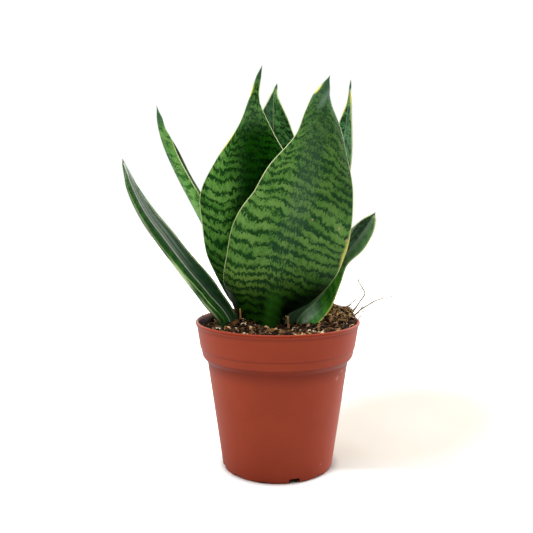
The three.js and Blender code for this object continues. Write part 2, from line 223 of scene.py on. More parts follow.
class Nodes:
    """A node tree that is put together one node at a time."""

    def __init__(self, tree):
        self.tree = tree
        tree.nodes.clear()

    def node(self, kind, sockets, output=0, **settings):
        """Adds a node: its settings first, then its sockets: links, numbers or web colours."""
        node = self.tree.nodes.new("ShaderNode" + kind)
        for key, value in settings.items():
            if key == "stops":
                ramp = node.color_ramp.elements
                while len(ramp) < len(value):
                    ramp.new(0.5)
                for stop, (place, colour) in zip(ramp, value):
                    stop.position, stop.color = place, tint(colour)
            else:
                setattr(node, key, value)
        for key, value in sockets.items():
            if isinstance(value, Value):
                self.tree.links.new(value.socket, node.inputs[key])
            else:
                node.inputs[key].default_value = tint(value) if isinstance(value, str) else value
        return Value(self, node.outputs[output] if node.outputs else None)

    def layer(self, name):
        """The three numbers of one of the piece's own layers."""
        return self.split(self.node("Attribute", {}, "Vector", attribute_name=name))

    def number(self, name):
        """The number of one of the piece's own layers."""
        return self.node("Attribute", {}, "Fac", attribute_name=name)

    def split(self, vector):
        parts = self.node("SeparateXYZ", {0: vector})
        return [Value(self, parts.socket.node.outputs[k]) for k in range(3)]

    def spot(self, x, y, z=0):
        return self.node("CombineXYZ", {0: x, 1: y, 2: z})

    def place(self):
        """Object coordinates in millimetres."""
        where = self.node("TexCoord", {}, "Object")
        return self.node("VectorMath", {0: where, "Scale": 1 / MM}, operation="SCALE")

    def far(self, where, middle=(0, 0, 0)):
        """The distance from a middle."""
        return self.node("VectorMath", {0: where, 1: middle}, "Value", operation="DISTANCE")

    def grain(self, where, scale=1, detail=2, rough=0.5, twist=0):
        return self.node("TexNoise", {"Vector": where, "Scale": scale, "Detail": detail,
                                      "Roughness": rough, "Distortion": twist})

    def ramp(self, value, low, high):
        """0 at low, 1 at high, S-shaped between them."""
        return self.node("MapRange", {0: value, 1: low, 2: high}, interpolation_type="SMOOTHSTEP")

    def mix(self, mask, first, second, way="MIX"):
        """The first colour where mask is 0, the second, or their product, where it is 1."""
        return self.node("Mix", {0: mask, 6: first, 7: second}, 2, data_type="RGBA", blend_type=way)

    def bump(self, height, reach, strength=1, under=None):
        """A Bump node over another; reach is the relief's depth in millimetres."""
        sockets = {"Height": height, "Distance": reach * MM, "Strength": strength}
        if under:
            sockets["Normal"] = under
        return self.node("Bump", sockets)


class Finish(Nodes):
    """One procedural material."""

    def __init__(self, name):
        self.material = bpy.data.materials.new(name)
        self.material.use_nodes = True
        super().__init__(self.material.node_tree)

    def done(self, colour, rough, normal, shine, **more):
        """The surface shader; underscores in the names of further sockets stand for spaces."""
        named = {"Base Color": colour, "Roughness": rough, "Normal": normal, "Specular IOR Level": shine}
        named.update({key.replace("_", " "): value for key, value in more.items()})
        self.node("OutputMaterial", {0: self.node("BsdfPrincipled", named)})
        return self.material


# ---- camera, light, floor
VIEW_FROM = (0, -399, 166.2)
VIEW_DOWN, VIEW_LEFT = 5.45, 1.02  # degrees
VIEW_LENS, VIEW_SENSOR = 42.48, 36
VIEW_NEAR, VIEW_FAR = 0.01, 20  # metres
WHITE, BLACK = grey(1), grey(0)
ROOM_FRONT, ROOM_SIDES = grey(0.05), grey(1.7)  # the room's glow behind the camera, and elsewhere
FLOOR_HALF = 3.0  # metres
FLOOR_GLOW, FLOOR_BOUNCE = 0.6, 0.5  # what the camera adds to the paper, what the plant gets back
FLOOR_DARK = (34, 42)  # mm from the axis: no glow under the pot
SHADE_AT, SHADE_TURN = (98, 75), 50  # mm, degrees: a painted warm shadow on the paper right of the pot
SHADE_LONG, SHADE_WIDE = 112, 64
SHADE_FRONT = (-8, -30)  # mm along Y: white again in front of the pot
LIGHTS_AIM = (0, 0, 0.12)  # metres
LIGHTS = (  # place and size in metres, watts, colour
    ("key_light", (-0.35, -0.75, 1.1), 0.5, 4.2, (1, 0.98, 0.95)),
    ("top_light", (0.15, 0, 1.3), 0.9, 9, (1, 1, 1)),
    ("right_light", (0.8, 0.5, 0.35), 0.6, 2.5, (1, 0.98, 0.95)),
)


def set_stage():
    """Camera at the photographer's place, soft light from all round."""
    scene = bpy.context.scene
    scene.view_settings.view_transform = "Standard"
    data = bpy.data.cameras.new("camera")
    data.lens, data.sensor_width = VIEW_LENS, VIEW_SENSOR
    data.clip_start, data.clip_end = VIEW_NEAR, VIEW_FAR
    camera = linked("camera", data)
    camera.location = array(VIEW_FROM) * MM
    camera.rotation_euler = (radians(90 - VIEW_DOWN), 0, radians(VIEW_LEFT))
    scene.camera = camera

    world = bpy.data.worlds.new("white_room")
    world.use_nodes = True
    f = Nodes(world.node_tree)
    side = f.split(f.node("TexCoord", {}, "Generated"))[1]
    room = f.mix(f.ramp(side, -0.6, 0.25), ROOM_FRONT, ROOM_SIDES)
    room = f.mix(f.node("LightPath", {}, "Is Camera Ray"), room, WHITE)
    f.node("OutputWorld", {0: f.node("Background", {0: room, 1: 1})})
    scene.world = world

    for name, place, size, power, colour in LIGHTS:
        lamp = bpy.data.lights.new(name, "AREA")
        lamp.shape, lamp.size, lamp.energy, lamp.color = "DISK", size, power, colour
        light = linked(name, lamp)
        light.location = place
        aim = array(LIGHTS_AIM) - array(place)
        across = hypot(aim[0], aim[1])
        light.rotation_euler = (np.arctan2(across, -aim[2]), 0, np.arctan2(-aim[0], aim[1]))


def make_floor():
    """White paper with a painted faint warm shadow right of the pot; it glows for the camera alone."""
    f = Finish("floor_paper")
    spot = f.place()
    paper = f.mix(f.ramp(f.grain(spot, 0.02, 3), 0.3, 0.7), "#faf9f7", "#fdfdfc")
    x, y, _ = f.split(spot)
    before_pot = f.ramp(y, *SHADE_FRONT)
    c, s = cos(radians(SHADE_TURN)), sin(radians(SHADE_TURN))
    x, y = x - SHADE_AT[0], y - SHADE_AT[1]
    # Painted shadow: paper and glow dim to a warm tone inside an oval right of the pot.
    shadow_reach = f.far(f.spot((x * c + y * s) / SHADE_LONG, (y * c - x * s) / SHADE_WIDE))
    tone = f.mix(f.ramp(shadow_reach, 1.5, 1.1), WHITE, (0.48, 0.475, 0.455, 1))
    tone = f.mix(f.ramp(shadow_reach, 1.1, 0.65), tone, (0.446, 0.423, 0.378, 1))
    tone = f.mix(before_pot, tone, WHITE)
    glow = f.mix(f.ramp(f.far(spot), *FLOOR_DARK), BLACK, tone)
    lit = f.node("BsdfPrincipled", {
        "Base Color": f.mix(1, paper, tone, "MULTIPLY"), "Roughness": 0.8, "Specular IOR Level": 0.1,
        "Emission Color": glow, "Emission Strength": FLOOR_GLOW})
    dull = f.node("BsdfDiffuse", {"Color": grey(FLOOR_BOUNCE)})
    seen = f.node("LightPath", {}, "Is Camera Ray")
    f.node("OutputMaterial", {0: f.node("MixShader", {0: seen, 1: dull, 2: lit})})
    mesh = bpy.data.meshes.new("floor")
    corners = [(x * FLOOR_HALF, y * FLOOR_HALF, 0) for x, y in ((-1, -1), (1, -1), (1, 1), (-1, 1))]
    mesh.from_pydata(corners, [], [(0, 1, 2, 3)])
    mesh.materials.append(f.material)
    floor = linked("floor", mesh)


# ---- leaves
# [x, y, z of the midrib, half width left, half width right,
#  heading of the inner face, curl left, curl right or one for both], from foot to tip,
# the same stations as in the part's source
LEAVES = {
    "front": [
        [-5, -3, 64, 6, 10, 182, 45], [-4.5, -7, 91, 5.5, 29, 181, 40],
        [-2.5, -10.5, 107, 28, 37, 180, 27], [1, -15, 127, 39.5, 37.5, 180, 22],
        [6, -20, 146, 39, 37, 178, 20], [13, -23, 165, 36, 32, 180, 20],
        [18, -24, 186, 31, 25, 182, 22], [22.5, -22, 206, 22, 14, 184, 26],
        [25, -19, 222, 14, 9.5, 184, 30], [28, -16, 234, 4, 7, 184, 40],
        [31, -14, 244, 0.7, 0.7, 184, 60]],
    "left_centre": [
        [-9, 7, 64, 8, 8, 176, 35], [-9, 5.5, 90, 11, 13, 176, 35],
        [-11.5, 4, 109, 22, 26.5, 176, 27], [-14, 1, 131, 30, 34.5, 175, 22],
        [-16, 0, 152, 33, 37.5, 174, 20], [-17, 0, 175, 33, 37.5, 174, 20],
        [-17, 2, 198, 25, 26.5, 174, 24], [-16, 5, 218, 13, 11, 176, 30],
        [-15, 7, 233, 4, 5, 176, 40], [-13, 8, 245, 2, 2, 176, 60],
        [-10, 9, 255, 0.7, 0.7, 176, 60]],
    "back_centre": [
        [-2, 20, 64, 7, 7, 0, 40], [-2, 21, 94, 9, 9, 0, 38], [-0.5, 23, 117, 11, 12, 0, 30],
        [-0.5, 27, 144, 14, 15, 0, 25], [-1, 30, 171, 17, 18, 0, 25],
        [-2, 32, 197, 18, 19, 0, 25], [-3, 33, 221, 12.5, 12, 0, 28],
        [-3, 34, 236, 5, 5.5, 0, 40], [-2, 35, 243, 1.8, 1.8, 0, 60],
        [-0.5, 36, 249, 0.7, 0.7, 0, 60]],
    "right_back": [
        [12, 20, 64, 7, 7, -20, 40], [17, 22, 94, 9, 9, -20, 40],
        [24, 26, 117, 10, 9, -22, 32], [30.5, 29, 144, 11, 10.5, -25, 28],
        [37, 31, 171, 11, 11.5, -28, 25], [42.5, 32, 196, 9.5, 10.5, -30, 25],
        [46, 33, 218, 6, 6.5, -30, 28], [47.5, 33.5, 233, 2.2, 3.2, -30, 40],
        [48.3, 34, 242.5, 1, 1, -30, 60], [49, 34.5, 251, 0.7, 0.7, -30, 60]],
    "left_back": [
        [-18, 22, 64, 7, 7, 100, 40], [-19, 24.5, 94, 9, 9, 98, 38],
        [-29, 28, 114, 14, 14, 95, 33], [-42.5, 32, 138.5, 18, 18, 92, 28],
        [-55.5, 35, 163, 18, 18, 90, 25], [-68.5, 36, 187.5, 17, 17, 92, 25],
        [-77, 36, 206.5, 13, 13, 94, 28], [-81, 36, 221, 6, 6, 94, 35],
        [-82.5, 36, 234.5, 0.9, 0.9, 92, 60]],
    "left_low": [
        [-32, 4, 64, 8, 8, 10, 60, 50], [-31, 5, 91, 15, 6.5, 14, 74, 50],
        [-45.5, 6.5, 110, 14.5, 10.5, 20, 72, 51], [-59.5, 7, 126.5, 12, 11, 25, 63, 56],
        [-72.5, 7, 144, 10.5, 10, 23, 56, 58], [-85.5, 6, 162.5, 8, 8.5, 18, 58, 58],
        [-93, 5, 178.5, 6, 4.5, 15, 58, 60], [-96.3, 4, 188.7, 2.5, 1.5, 16, 60, 60],
        [-98.8, 4, 196.3, 0.8, 0.8, 15, 60, 60]],
    "right_low": [
        [14, 7, 64, 7, 8, -5, 42, 42], [13, 5.5, 91, 9, 14, -8, 28, 36],
        [27, 12, 106, 10, 11.5, -5, 30, 34], [35.5, 12.5, 118.5, 8, 7.5, -5, 36, 36],
        [42, 13, 131, 8, 6, -10, 38, 38], [51.5, 13, 143, 10, 8, -10, 35, 35],
        [59.5, 13, 154.5, 6.5, 5, -12, 35, 35], [63.5, 13, 162.5, 0.8, 0.8, -15, 60, 60]],
}
PHASE = dict(front=0.4, left_centre=1.9, back_centre=3.1, right_back=4.6,
             left_back=0.9, left_low=2.7, right_low=5.3)
THICK_AT = [0, 0.15, 0.5, 0.85, 1]  # places along a blade, and its thickness there in mm
THICK_RIB, THICK_EDGE = [4, 3.6, 2.6, 2, 1.3], [1, 1, 0.95, 0.9, 0.9]
FOLD, TIP_ROUND = 0.25, 4  # share of the vee in a section; mm: flatter where narrower
EDGE_ROUND = 0.45  # mm
WAVER, WAVER_TURN = 0.012, 31  # the margins' slow waver: share of the width, radians a blade
LIFT, LIFT_TURN = 0.45, 24  # mm: their ripple up and down
FLUTE, FLUTE_TURN = 0.1, 1.05  # mm, radians a mm
KEEL, KEEL_WIDE = 0.9, 2.4
CREASE, CREASE_WIDE = 0.25, 0.9
POINT_FROM, POINT_CLOSE = 0.93, 0.88  # the last rings close by this much
LEAF_ROWS, LEAF_CORE, LEAF_EDGE = 200, 49, 4

# how far the crossbands climb or dip across the blade: [place from margin to margin, mm]
BAND_SWING = array([[-1, 0.6], [-0.76, -2.4], [-0.44, 2.2], [-0.1, 2], [0.2, 1],
                    [0.55, -1.5], [0.85, -5.4], [1, -6]]).T
STEEP_SWING = array([[-1, 6], [-0.82, 2.6], [-0.6, -1.2], [-0.35, 0.6], [0, 0],
                     [0.5, -1], [0.85, -4], [1, -5]]).T

# patches of the margin or blade that are pale yellow: leaf: [place along 0..1,
# place across -1..1, length mm, width mm, strength, face: 1 inner, -1 outer, 0 both]
PALE = {
    "front": [[0.952, -0.78, 3.6, 2, 1, 0], [0.45, 0.99, 16, 2.2, 1, 0]],
    "left_centre": [[0.911, -0.78, 5, 1.5, 0.95, 0], [0.755, -0.95, 8, 1.2, 1, 0]],
    "right_back": [[0.935, 0.97, 5, 0.9, 0.9, 0], [0.9, -0.97, 8, 0.7, 0.9, 0]],
    "left_low": [[0.47, -0.78, 13, 3, 1, -1], [0.27, -0.8, 14, 1.6, 0.6, -1]],
    "right_low": [[0.33, 1, 30, 0.6, 0.8, 0]],
}
NOOK_NEAR, NOOK_REACH = 7, (5, 11)  # mm: a blade this near leaves it in shade; probes off it
NOOK_ROWS, NOOK_COLUMNS, OTHER_ROWS, OTHER_COLUMNS = 60, 25, 46, 17


def leaf_sheet(name, s, t, face=0):
    """Points of a blade at s along it and t across it, t from -1 to 1, a grid.

    The midrib runs through the stations. Each half of the cross-section is part of an
    arc of a circle mixed with a straight vee, lifted by a slow ripple near the margin.
    face pushes the point off the middle of the blade, along the section's normal."""
    rows, phase = LEAVES[name], PHASE[name]
    q = through(rows, s)
    step = through(rows, minimum(1, s + 1e-3)) - through(rows, maximum(0, s - 1e-3))
    along = unit(step[:, :3])
    heading = radians(q[:, 5])
    out = stack([sin(heading), -cos(heading), 0 * heading], -1)
    out = unit(out - (out * along).sum(-1, keepdims=True) * along)
    side_way = np.cross(out, along)
    a, left = np.abs(t), t < 0
    side = np.where(left, 1, -1)
    column = s[:, None]
    ripple = smooth(0.16, 0.34, column) * smooth(1, 0.8, column)
    w = maximum(np.where(left, q[:, 3:4], q[:, 4:5]), 0.5)
    w = w * (1 + WAVER * ripple * sin(WAVER_TURN * column + phase + np.where(left, 0, 2)))
    curl = radians(np.where(left, q[:, 6:7], q[:, -1:])) * minimum(1, w / TIP_ROUND)
    r, bend = w / (2 * sin(curl)), 2 * curl * a
    u = (1 - FOLD) * r * sin(bend) + FOLD * w * a * cos(curl)
    v = ((1 - FOLD) * r * (1 - cos(bend)) + FOLD * w * a * sin(curl)
         + LIFT * ripple * a * a * sin(LIFT_TURN * column + 2 * phase + np.where(left, 0, 1.3)))
    du = (1 - FOLD) * 2 * curl * r * cos(bend) + FOLD * w * cos(curl)
    dv = (1 - FOLD) * 2 * curl * r * sin(bend) + FOLD * w * sin(curl)
    size = hypot(du, dv)
    turn = smooth(0, 0.06, a)  # the two halves meet smoothly
    nu, nv = -side * dv / size * turn, du / size
    size = hypot(nu, nv)
    nu, nv = nu / size, nv / size
    points = (q[:, None, :3] + (side * u + face * nu)[..., None] * side_way[:, None]
              + (v + face * nv)[..., None] * out[:, None])
    return points, side * u, w


def make_leaf(name, finish):
    """A blade as closed rings: across the inner face, round a margin, back on the outer.

    Half its thickness falls from rib to edge with the square of the place across, and
    each margin is a half round. Shallow flutes run lengthwise, a keel stands out at the
    foot of the outer face, and the last rings close to the tip. Three layers carry the
    place across, the place along with the bands' swing, the distance to the margin, the
    face, the share of the length, the pale patches and the nooks to the skin."""
    s = linspace(0, 1, LEAF_ROWS)
    q, column = through(LEAVES[name], s), s[:, None]
    narrow = clip(minimum(q[:, 3], q[:, 4]), 0.5, None)[:, None]
    round_from = clip(1 - EDGE_ROUND / narrow, 0.3, 1)
    turn = radians(linspace(0, 90, LEAF_EDGE + 1)[1:])[None]
    far = round_from + (1 - round_from) * sin(turn)
    inner = np.hstack([-far[:, ::-1], linspace(-1, 1, LEAF_CORE) * round_from, far])
    edge = tile(cos(turn), (LEAF_ROWS, 1))
    bulge = np.hstack([edge[:, ::-1], np.ones((LEAF_ROWS, LEAF_CORE)), edge])
    up = np.ones_like(inner)
    t, bulge = (np.hstack([v, v[:, -2:0:-1]]) for v in (inner, bulge))
    up = np.hstack([up, -up[:, 1:-1]])
    a = np.abs(t)
    half = (np.interp(s, THICK_AT, THICK_RIB)[:, None] * (1 - a * a)
            + np.interp(s, THICK_AT, THICK_EDGE)[:, None] * a * a) / 2
    _, across, w = leaf_sheet(name, s, t)
    flute = FLUTE * sin(across * FLUTE_TURN + 3 * PHASE[name]) * smooth(1, 0.75, a)
    flute = flute * smooth(0.95, 0.7, column)
    keel = KEEL * exp(-((across / KEEL_WIDE) ** 2)) * smooth(0.42, 0.12, column) * (up < 0)
    crease = CREASE * exp(-((across / CREASE_WIDE) ** 2)) * (up > 0) * smooth(0.98, 0.85, column)
    half = (half + keel - crease) * clip(bulge, 0, 1)
    end = 1 - POINT_CLOSE * ((column - POINT_FROM) / (1 - POINT_FROM)).clip(0, 1) ** 1.5
    rings = leaf_sheet(name, s, t, up * half + flute)[0]
    middle = rings.mean(1, keepdims=True)
    rings = middle + (rings - middle) * end[..., None]
    length = concatenate([[0], np.cumsum(np.linalg.norm(np.diff(q[:, :3], axis=0), axis=1))])
    facing = 1 if abs(LEAVES[name][3][5]) < 60 else -1
    seen = facing * t  # -1 at the viewer's left
    swing = np.interp(seen, *(STEEP_SWING if name == "left_centre" else BAND_SWING))
    band = length[:, None] - swing * smooth(2, 12, w)
    pale = np.zeros_like(t)
    for at, place, long, wide, strong, face in PALE.get(name, ()):
        far_along = (length[:, None] - at * length[-1]) / long
        far_across = (seen - place) * w / wide
        patch = strong * exp(-(far_along**2) - far_across**2)
        pale = maximum(pale, patch * (up * face >= 0))
    layers = {"blade": stack([-facing * across, band, (1 - a) * w], -1).reshape(-1, 3),
              "state": stack([(up + 1) / 2, column + 0 * t, pale], -1).reshape(-1, 3),
              "nook": shaded(name, s, t, up).reshape(-1)}
    layers = {key: concatenate([v, v[:1], v[-1:]]) for key, v in layers.items()}
    piece("blade_" + name, *closed_tube(rings), finish, "leaf", ["leaf_" + name], layers)


def shaded(name, s, t, up):
    """How far each point of a blade lies in a nook, from 0 to 1.

    On a coarse grid, probes a little way off each face look for the nearest point of any
    other blade, and the nearer it is the darker; the finer grid reads between."""
    across = tile(linspace(-1, 1, OTHER_COLUMNS), (OTHER_ROWS, 1))
    others = vstack([leaf_sheet(n, linspace(0.1, 1, OTHER_ROWS), across)[0].reshape(-1, 3)
                     for n in LEAVES if n != name])
    coarse = linspace(0, 1, NOOK_ROWS), tile(linspace(-1, 1, NOOK_COLUMNS), (NOOK_ROWS, 1))
    found = []
    for side in (-1, 1):
        worst = np.zeros(coarse[1].shape)
        for reach in NOOK_REACH:
            probes = leaf_sheet(name, *coarse, side * reach)[0]
            gap = stack([np.linalg.norm(row[:, None] - others, axis=-1).min(1) for row in probes])
            worst = maximum(worst, exp(-((gap / NOOK_NEAR) ** 2)))
        found.append(worst)
    i = clip(s * (NOOK_ROWS - 1), 0, NOOK_ROWS - 1.001)[:, None] + 0 * t
    j = clip((t + 1) / 2 * (NOOK_COLUMNS - 1), 0, NOOK_COLUMNS - 1.001)
    i0, j0 = i.astype(int), j.astype(int)
    fi, fj = i - i0, j - j0
    outer, inner = ((g[i0, j0] * (1 - fi) + g[i0 + 1, j0] * fi) * (1 - fj)
                    + (g[i0, j0 + 1] * (1 - fi) + g[i0 + 1, j0 + 1] * fi) * fj for g in found)
    return np.where(up > 0, inner, outer)


def leaf_finish(name, seed, greens, mottled=(0.5, 0.8), pitch=(0.13, 0), cover=0, lines=0,
                painted_sheen=None, gloss=0, edge=1, foot_shade=1, close=1, dusk=None, awl=(0.9, 0.98),
                tip=(0.985, 0.998), bleach=0, curls=None, upper=None, rib=(0.45, 0.75),
                rib_tint="#bacca8", faint=None, calm=None, close_bands=None, crown=0,
                patch_tint="#eeec70", spots=(), glint=None):
    """Crossbanded leaf skin.

    A sine along the blade, bent by slow noise and frayed by lengthwise fibres, draws the
    dark bands, and noise breaks them up; pitch gives its turns a millimetre and their
    growth, and close_bands more of them, in yellower green, up to a place near the foot.
    From mottled on, and along the midrib, the bands dissolve into a fine mottle. curls
    adds thin loops where noise crosses its middle, and calm fades the dark out between
    two places along. The margin is a thin cream line that faint lets go. Painted shade
    darkens the foot and the nooks, dusk paints shade over one half, and a painted
    highlight lies along the keel at the foot; crown darkens the upper part, awl greens the
    spike and tip browns its end. The inner face has greens of its own, pale nerves that
    partly stand in for a sheen, a pale midline, upper's two greens above with painted shade
    towards one side, and a painted reflection on one half, streaked with slate and, where
    asked, with painted white glare beside the midrib under a clear coat. glint is a painted
    soft highlight and spots are scars."""
    f = Finish(name)
    light, light_too, dark, dark_too, inner_light, inner_light_too, inner_dark = greens.split()
    across, band, margin = f.layer("blade")
    inner, along, pale = f.layer("state")
    nook = f.number("nook")
    height = f.split(f.place())[2]
    size = abs(across)

    def noise(wide, tall, number, detail=2, rough=0.5, up=band, twist=0):
        """Noise of its own number, with so many lumps a millimetre across and along."""
        return f.grain(f.spot(across * wide, up * tall, seed + number), 1, detail, rough, twist)

    def between(start, stop, most=1):
        """From 0 at one place along the blade to most at the other."""
        return f.ramp(along, start, stop) * most

    fibre = noise(1.9, 0.26, 0, rough=0.6)
    slow = noise(0.045, 0.03, 11, 1)
    jag = noise(0.3, 0.12, 23)
    fray = noise(1.2, 0.75, 29, rough=0.6)
    bent = band + (slow - 0.5) * 12 + (jag - 0.5) * 6 + (fray - 0.5) * 5.5 + (fibre - 0.5) * 2
    turns = bent * (bent * pitch[1] + pitch[0])
    if close_bands:
        until, more = close_bands
        turns = turns + bent.maths("MINIMUM", bent, until) * (more / until)
    count = turns * (2 * np.pi)
    wave = count.maths("SINE", count)
    twin = count.maths("SINE", count * 2 + slow * 9)
    patch = noise(0.09, 0.17, 3, 3, 0.6, bent)
    speck = noise(0.5, 0.85, 5, 3, 0.65, bent)
    fine = f.grain(f.spot(across * 0.95, band * 1.5 + jag * 3, seed + 7), rough=0.6)
    strip = f.ramp(size, 11, 2)
    loose = f.ramp(along + strip * 0.12 + (slow - 0.5) * 0.25, *mottled)
    banded = wave * 0.46 + twin * 0.13 + (patch - 0.5) * 1.7 + (speck - 0.5) * 2.4 + cover
    cloudy = wave * 0.42 + (patch - 0.5) * 1.6 + (speck - 0.5) * 4.6 + (fine - 0.5) * 4.6 + cover
    streaky = (fibre - 0.5) * (3 - loose * 1.8) + 0.14
    field = banded * (1 - loose) + cloudy * loose + strip * streaky
    if close_bands:
        near_foot = f.ramp(band, until + 6, until - 14)
        field = field + near_foot * (wave * 0.28 + 0.12)
    mask = f.ramp(field + (fray - 0.5) * 1.4, -0.22, 0.4)
    if curls:
        strong, wide, tall, rest = curls
        loop = abs(noise(wide, tall, 31, 1.5, up=bent, twist=0.8) - 0.5)
        line = f.ramp(loop + (speck - 0.5) * 0.06, 0.056, 0.028) * strong
        mask = mask.maths("MAXIMUM", mask * rest, line)
    if calm:
        mask = mask * (1 - between(*calm))

    tone = f.ramp(patch * 0.6 + fibre * 0.4, 0.36, 0.62)
    cool = f.ramp(across, -24, 2) * 0.7 + fibre * 0.3
    outer = f.mix(mask * 0.95, f.mix(tone, light, light_too), f.mix(cool, dark, dark_too))
    if close_bands:
        outer = f.mix(near_foot * (1 - mask) * 0.28, outer, "#9ca238")
    # Greyer along the midrib: partly the blade's own tone, partly a painted sheen.
    outer = f.mix(strip * between(0.3, 0.55) * between(0.9, 0.7, 0.35), outer, "#58785c")
    inside = f.mix(mask * 0.95, f.mix(tone, inner_light, inner_light_too), inner_dark)
    nerve = f.ramp(noise(0.9, 0.004, 17, 1), 0.54, 0.7) * lines
    midline = f.ramp(size, rib[1], rib[1] * 0.4) * rib[0]
    # Painted reflection on one half of the inner face: a pale sheen colour broken by slate streaks and,
    # where asked, a painted white glare beside the midrib that the coat follows.
    if painted_sheen:
        way, start, stop, strength, sheen_colour, white_sheen = painted_sheen
        half = across * way
        streak = noise(2, 0.015, 41) * between(1, 0.8)
        broad = noise(0.33, 0.012, 43, 1)
        high = between(0.3, 0.62)
        slate = streak * 0.45 + broad * 0.55 + f.ramp(half, 1.5, 6.5) * 0.12 * white_sheen
        slate = f.ramp(slate, 0.46, 0.58) * (0.9 - high * 0.3)
        sheen_colour = f.mix(high, f.mix(0.5, sheen_colour, "#608068"), sheen_colour)
        sheen_colour = f.mix(slate, sheen_colour, "#365446" if white_sheen else "#385c48")
        white_glare = f.ramp(half, 7.5, 0.5) * high * between(0.93, 0.82) * f.ramp(streak, 0.6, 0.46)
        sheen_colour = f.mix(white_glare * white_sheen, sheen_colour, "#f6f8f4")
        inside = f.mix(f.ramp(half, -0.5, 2) * between(start, stop, strength), inside, sheen_colour)
    if upper:
        start, stop, upper_light, upper_dark = upper
        midline = midline * (1 - between(start, stop, 0.7))
        # Painted shade: the upper inner face darkens towards its left half.
        half_in_shade = f.ramp(across + (nerve - 0.5) * 3, 3.5, -4) * 0.65 + mask * 0.35
        inside = f.mix(between(start, stop, 0.9), inside, f.mix(half_in_shade, upper_light, upper_dark))
    # Pale nerves, partly the veins' own colour, partly a painted sheen along them.
    inside = f.mix(nerve, inside, "#96aa92")
    inside = f.mix(midline, inside, rib_tint)
    skin = f.mix(inner, outer, inside)

    skin = f.mix(between(0.5, 0.78, crown), skin, "#8caa80", "MULTIPLY")
    # Painted shade at the foot: darker towards the mix, and higher up on the right.
    low = f.ramp(height - across * 0.15, 132, 107) * foot_shade
    skin = f.mix(low, skin, "#548c3e", "MULTIPLY")
    # Painted shade in the outer face's right corner at the foot.
    foot_corner_shade = f.ramp(across, 2, 8) * f.ramp(height - across * 0.3, 112, 102) * foot_shade
    skin = f.mix(foot_corner_shade * (1 - inner), skin, "#546c3e", "MULTIPLY")
    # Painted highlight: a lighter green strip where the keel at the foot catches light, inside the
    # painted foot shade.
    keel = f.ramp(size, 6.6, 0.8) * f.ramp(height, 122, 104) * (1 - inner) * (foot_shade * 0.55)
    skin = f.mix(keel, skin, f.mix(fibre, "#225c12", "#428c28"))
    if dusk:
        # dusk is painted shade over one half of the outer face, between two heights.
        start, stop, strength, lower, upper = dusk
        shade = f.ramp(across, start, stop) * f.ramp(height, 232, 208) * f.ramp(height, lower, upper)
        skin = f.mix(shade * strength * (1 - inner), skin, "#447e30", "MULTIPLY")
    # Painted shade where another blade comes near, from the nook layer.
    skin = f.mix(nook * (0.8 * close), skin, "#608e46", "MULTIPLY")
    point = between(*awl)
    skin = f.mix(point * 0.8, skin, f.mix(fibre, "#244c2c", "#4e7454"))
    # A painted soft highlight: a pale streak along the blade.
    if glint:
        at_height, long, at_side, lean, wide, strong = glint
        above = height - at_height
        aside = abs(across - at_side - above * lean) + (fibre - 0.5) * 2
        sheen = f.ramp(aside, wide, 0) * f.ramp(abs(above), long, long * 0.2) * strong
        skin = f.mix(sheen, skin, "#a4c0ac")
    for at, wide in spots:
        scar = f.ramp(f.far(f.place(), at) + fibre * 0.6, wide + 0.3, wide - 0.3) * 0.85
        skin = f.mix(scar, skin, "#cca882")
    bleached = between(tip[0] - 0.035, tip[0] - 0.01) * f.ramp(across, -0.6, 0.4) * bleach
    skin = f.mix(bleached, skin, "#c4c0a4")
    skin = f.mix(between(*tip, 0.85), skin, "#2c2a22")
    border = margin + (slow - 0.5) * 0.5 + (fibre - 0.5) * 0.25
    border = f.ramp(border, 0.62 * edge + 0.12, 0.62 * edge - 0.16) * f.ramp(height, 94, 104)
    # The cream line also dims in the painted shade of the nooks.
    border = border * (1 - point) * 0.9 * (1 - nook * 0.35)
    if faint:
        border = border * (1 - between(*faint))
    cream = f.mix(f.ramp(slow, 0.4, 0.6), "#e0e8ae", "#c0d482")
    cream = f.mix(f.ramp(height, 135, 110) * 0.5, cream, "#82a868")
    skin = f.mix(border, skin, cream)
    skin = f.mix(f.ramp(pale, 0.15, 0.8) * 0.95, skin, patch_tint)
    wax = white_glare * white_sheen if painted_sheen and white_sheen else 0
    rough = 0.47 - gloss * 0.14 + (fibre - 0.5) * 0.16 + mask * 0.05
    return f.done(skin, rough, f.bump(fibre, 0.09, 0.45), 0.09 + 0.4 * gloss,
                  Coat_Weight=wax, Coat_Roughness=0.35)


